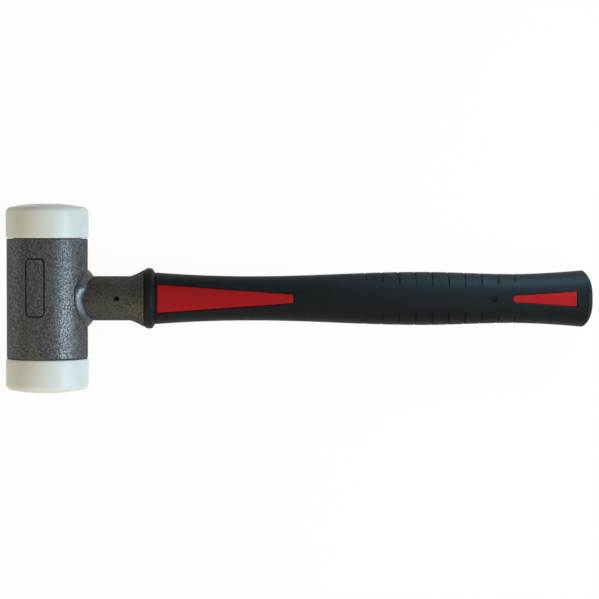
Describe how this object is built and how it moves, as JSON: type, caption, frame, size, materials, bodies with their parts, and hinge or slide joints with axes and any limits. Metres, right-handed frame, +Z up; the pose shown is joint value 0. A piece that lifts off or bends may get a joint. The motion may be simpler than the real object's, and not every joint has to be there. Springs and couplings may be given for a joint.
{
  "type": "dead blow hammer",
  "caption": "Dead blow hammer: a welded steel head with loose shot inside, replaceable crowned nylon faces and a soft-grip handle, for striking without rebound or marks.",
  "frame": {"origin": "bottom centre of the bounding box, on the surface that the hammer lies on", "axes": "+X level, from the head towards the butt of the handle; +Y along the head's axis, towards the upper face of the picture; +Z up"},
  "size_m": [0.3576, 0.1146, 0.05],
  "materials": {
    "hammertone_paint": "grey hammertone paint, semi-gloss with fine dimples",
    "bare_steel": "bare steel, lightly oiled",
    "spring_steel": "dark phosphated spring steel",
    "nylon": "natural off-white nylon, satin",
    "black_rubber": "black soft overmould, fine matt grain",
    "red_plastic": "red hard plastic, satin",
    "fibreglass": "pultruded fibreglass rod, amber"
  },
  "bodies": {
    "hammer": {"head_housing": "hammertone_paint", "chamber_disc_upper": "bare_steel", "chamber_disc_lower": "bare_steel", "disc_circlip_upper": "spring_steel", "disc_circlip_lower": "spring_steel", "neck_socket": "hammertone_paint", "neck_weld_bead": "hammertone_paint", "socket_pin": "spring_steel", "collar_ring": "black_rubber", "grip_overmould": "black_rubber", "handle_jacket": "red_plastic", "handle_core": "fibreglass"},
    "upper_face": {"nylon_face_upper": "nylon"},
    "lower_face": {"nylon_face_lower": "nylon"},
    "shot": {"shot_ball_01": "bare_steel", "shot_ball_02": "bare_steel", "shot_ball_03": "bare_steel", "shot_ball_04": "bare_steel", "shot_ball_05": "bare_steel", "shot_ball_06": "bare_steel", "shot_ball_07": "bare_steel", "shot_ball_08": "bare_steel", "shot_ball_09": "bare_steel", "shot_ball_10": "bare_steel", "shot_ball_11": "bare_steel", "shot_ball_12": "bare_steel", "shot_ball_13": "bare_steel", "shot_ball_14": "bare_steel", "shot_ball_15": "bare_steel", "shot_ball_16": "bare_steel", "shot_ball_17": "bare_steel", "shot_ball_18": "bare_steel", "shot_ball_19": "bare_steel", "shot_ball_20": "bare_steel", "shot_ball_21": "bare_steel"}
  },
  "joints": [
    {"name": "shot_slide", "type": "slide", "parent": "hammer", "child": "shot", "axis": [0, 1, 0], "range_m": [0, 0.0105]},
    {"name": "upper_face_pull", "type": "slide", "parent": "hammer", "child": "upper_face", "axis": [0, 1, 0], "range_m": [0, 0.016]},
    {"name": "lower_face_pull", "type": "slide", "parent": "hammer", "child": "lower_face", "axis": [0, -1, 0], "range_m": [0, 0.016]}
  ]
}
